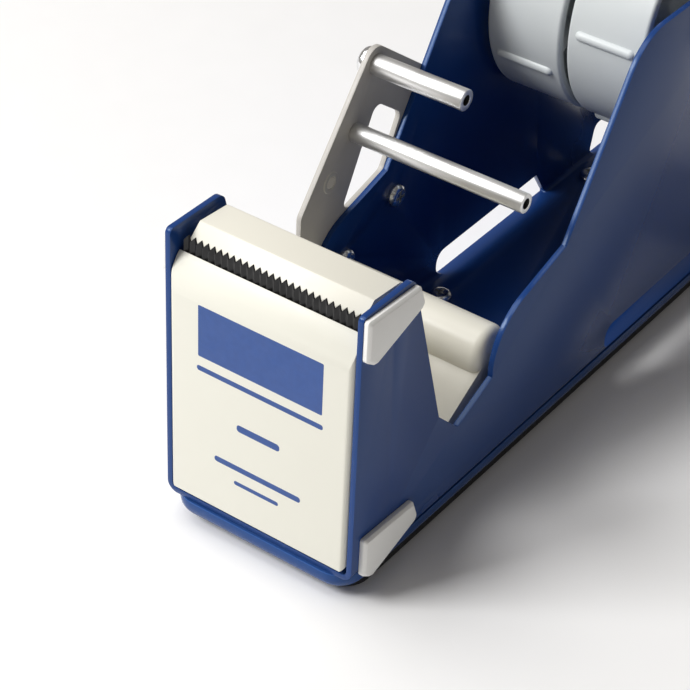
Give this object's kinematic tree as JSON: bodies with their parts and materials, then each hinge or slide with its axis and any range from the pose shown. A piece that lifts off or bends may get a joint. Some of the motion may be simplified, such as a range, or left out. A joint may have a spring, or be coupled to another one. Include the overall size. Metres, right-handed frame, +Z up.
{
  "type": "bench tape dispenser for two-inch tape",
  "caption": "Weighted bench tape dispenser: folded blue steel channel, cream tearing block with serrated blade, side plate with guide posts, lift-out hub.",
  "frame": {"origin": "centre of the foam pad's underside, the face the dispenser stands on", "axes": "+X to the right of someone facing the tearing edge, +Y from the tearing edge back towards the hub, +Z up"},
  "size_m": [0.0734, 0.2434, 0.1352],
  "materials": {
    "channel_paint": "gloss enamel, deep blue",
    "tray_paint": "gloss enamel, deep blue",
    "ballast": "bare plate",
    "foam": "closed-cell foam, matt black",
    "cover_plastic": "satin, warm white",
    "block_plastic": "satin, warm white",
    "guide_plastic": "satin, warm white",
    "clip_plastic": "satin, warm white",
    "blade_steel": "black, fluted",
    "screw_steel": "zinc plated",
    "plate_finish": "fine grain, warm grey",
    "post_metal": "drawn tube, satin",
    "axle_steel": "turned bar",
    "cap_plastic": "satin black",
    "spacer_plastic": "satin black",
    "drum_plastic": "satin, cool light grey"
  },
  "bodies": {
    "frame": {"frame_channel": "channel_paint", "base_tray": "tray_paint", "ballast_plate": "ballast", "foam_pad": "foam", "front_cover": "cover_plastic", "platform_block": "block_plastic", "rear_guide": "guide_plastic", "blade": "blade_steel", "blade_screws": "screw_steel", "block_screws": "screw_steel", "guide_screws": "screw_steel", "upper_clip_right": "clip_plastic", "lower_clip_right": "clip_plastic", "upper_clip_left": "clip_plastic", "lower_clip_left": "clip_plastic", "side_plate": "plate_finish", "upper_post": "post_metal", "lower_post": "post_metal", "post_screws": "screw_steel", "plate_screws": "screw_steel", "plate_nuts": "screw_steel", "floor_screws": "screw_steel"},
    "hub_carrier": {"hub_axle": "axle_steel", "axle_caps": "cap_plastic", "drum_spacer": "spacer_plastic", "side_spacers": "spacer_plastic"},
    "left_drum": {"left_drum": "drum_plastic"},
    "right_drum": {"right_drum": "drum_plastic"}
  },
  "joints": [
    {"name": "hub_lift", "type": "slide", "parent": "frame", "child": "hub_carrier", "axis": [0, 0, 1], "range_m": [0, 0.075]},
    {"name": "left_drum_spin", "type": "hinge", "parent": "hub_carrier", "child": "left_drum", "pos_m": [0, 0.0548, 0.0973], "axis": [1, 0, 0], "continuous": true},
    {"name": "right_drum_spin", "type": "hinge", "parent": "hub_carrier", "child": "right_drum", "pos_m": [0, 0.0548, 0.0973], "axis": [1, 0, 0], "continuous": true}
  ]
}
